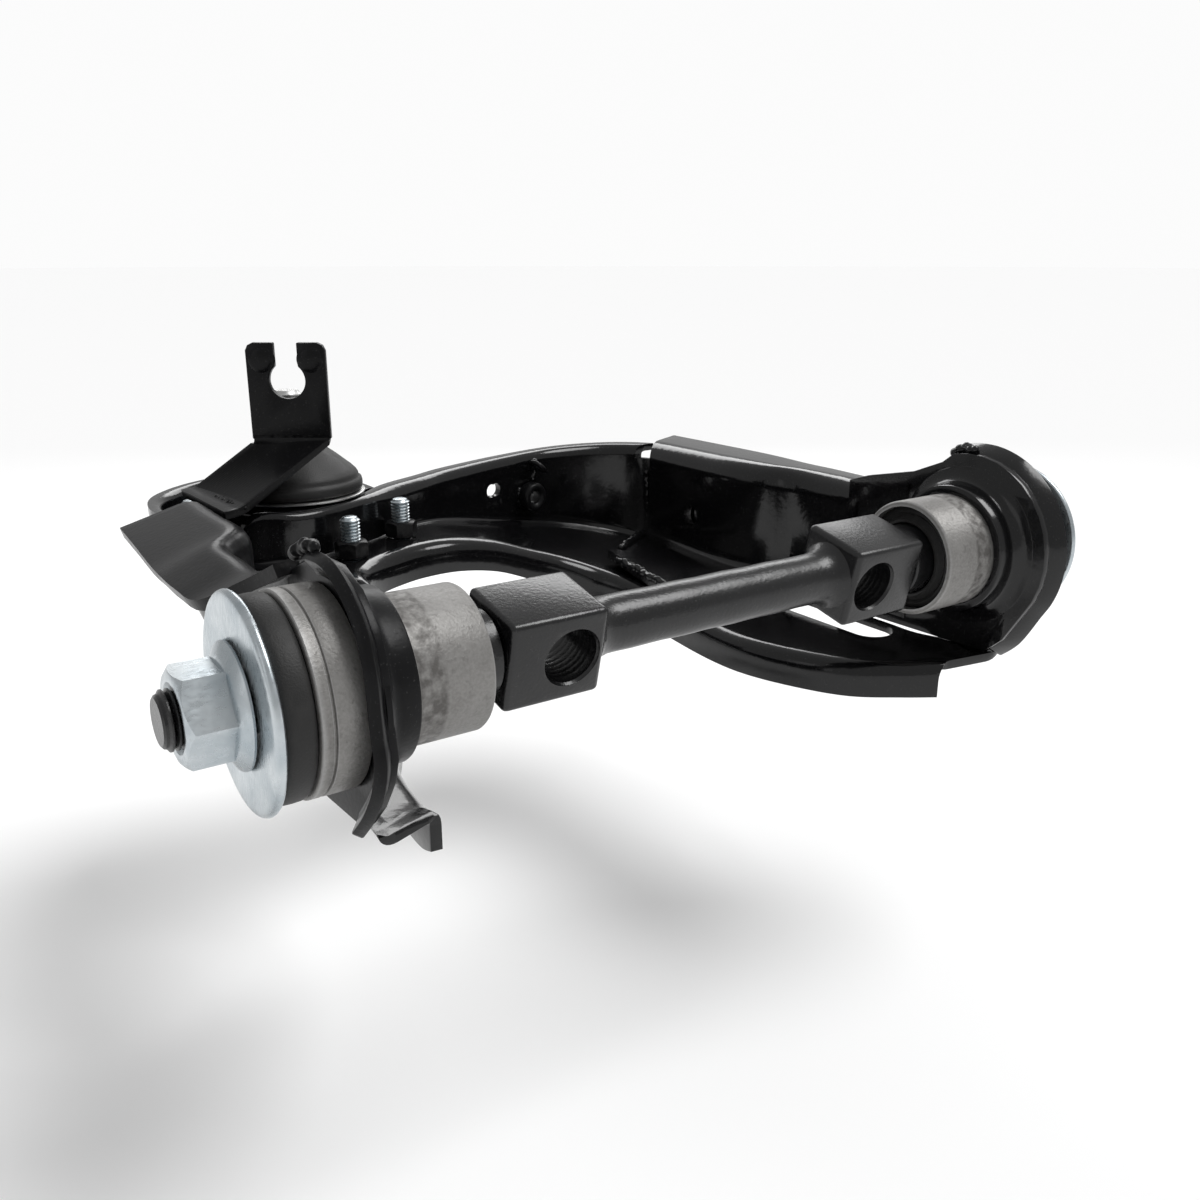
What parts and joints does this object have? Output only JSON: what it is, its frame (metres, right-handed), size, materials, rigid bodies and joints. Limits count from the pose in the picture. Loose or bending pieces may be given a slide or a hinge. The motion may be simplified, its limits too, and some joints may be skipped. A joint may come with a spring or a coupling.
{
  "type": "suspension control arm",
  "caption": "Stamped steel control arm pivoting on a forged cross shaft through rubber bushes, with a bolted ball joint, dust boot and hose bracket",
  "frame": {"origin": "middle of the cross shaft's axis", "axes": "+X along the cross shaft, +Y from the shaft towards the ball joint, +Z along the ball stud"},
  "size_m": [0.356, 0.284, 0.132],
  "materials": {
    "gloss_black_paint": "gloss",
    "satin_black_paint": "satin",
    "forged_black_paint": "semi-gloss",
    "phosphate_steel": "matte phosphate",
    "zinc_plate": "bright zinc",
    "bare_steel": "machined",
    "rubber": "matte",
    "seat_plastic": "matte"
  },
  "bodies": {
    "shaft": {"pivot_shaft": "forged_black_paint", "front_lock_nut": "zinc_plate", "front_end_washer": "zinc_plate", "front_inner_sleeve": "bare_steel", "rear_lock_nut": "zinc_plate", "rear_end_washer": "zinc_plate", "rear_inner_sleeve": "bare_steel"},
    "arm": {"front_outer_sleeve": "phosphate_steel", "front_bush_rubber": "rubber", "front_thrust_ring": "rubber", "rear_outer_sleeve": "phosphate_steel", "rear_bush_rubber": "rubber", "rear_thrust_ring": "rubber", "front_eye_bracket": "satin_black_paint", "rear_eye_bracket": "gloss_black_paint", "arm_pressing": "gloss_black_paint", "hose_bracket": "satin_black_paint", "weld_nut": "gloss_black_paint", "wire_loop": "gloss_black_paint", "joint_housing": "phosphate_steel", "joint_cap": "phosphate_steel", "boot_ring": "bare_steel", "joint_bolt_1": "zinc_plate", "joint_nut_1": "zinc_plate", "joint_bolt_2": "zinc_plate", "joint_nut_2": "zinc_plate", "joint_bolt_3": "zinc_plate", "joint_nut_3": "zinc_plate", "joint_bolt_4": "zinc_plate", "joint_nut_4": "zinc_plate"},
    "swivel": {"ball_seat": "seat_plastic", "dust_boot": "rubber"},
    "stud": {"ball_stud": "bare_steel", "boot_neck_ring": "bare_steel"}
  },
  "joints": [
    {"name": "arm_pivot", "type": "hinge", "parent": "shaft", "child": "arm", "pos_m": [0, 0, 0], "axis": [1, 0, 0], "range_deg": [-25, 25], "stiffness_Nm_per_rad": 170},
    {"name": "ball_swivel", "type": "hinge", "parent": "arm", "child": "swivel", "pos_m": [-0.074, 0.187, -0.002], "axis": [0, 0, 1], "continuous": true},
    {"name": "ball_tilt", "type": "hinge", "parent": "swivel", "child": "stud", "pos_m": [-0.074, 0.187, -0.002], "axis": [1, 0, 0], "range_deg": [-12, 12], "deforming": ["dust_boot"]}
  ]
}
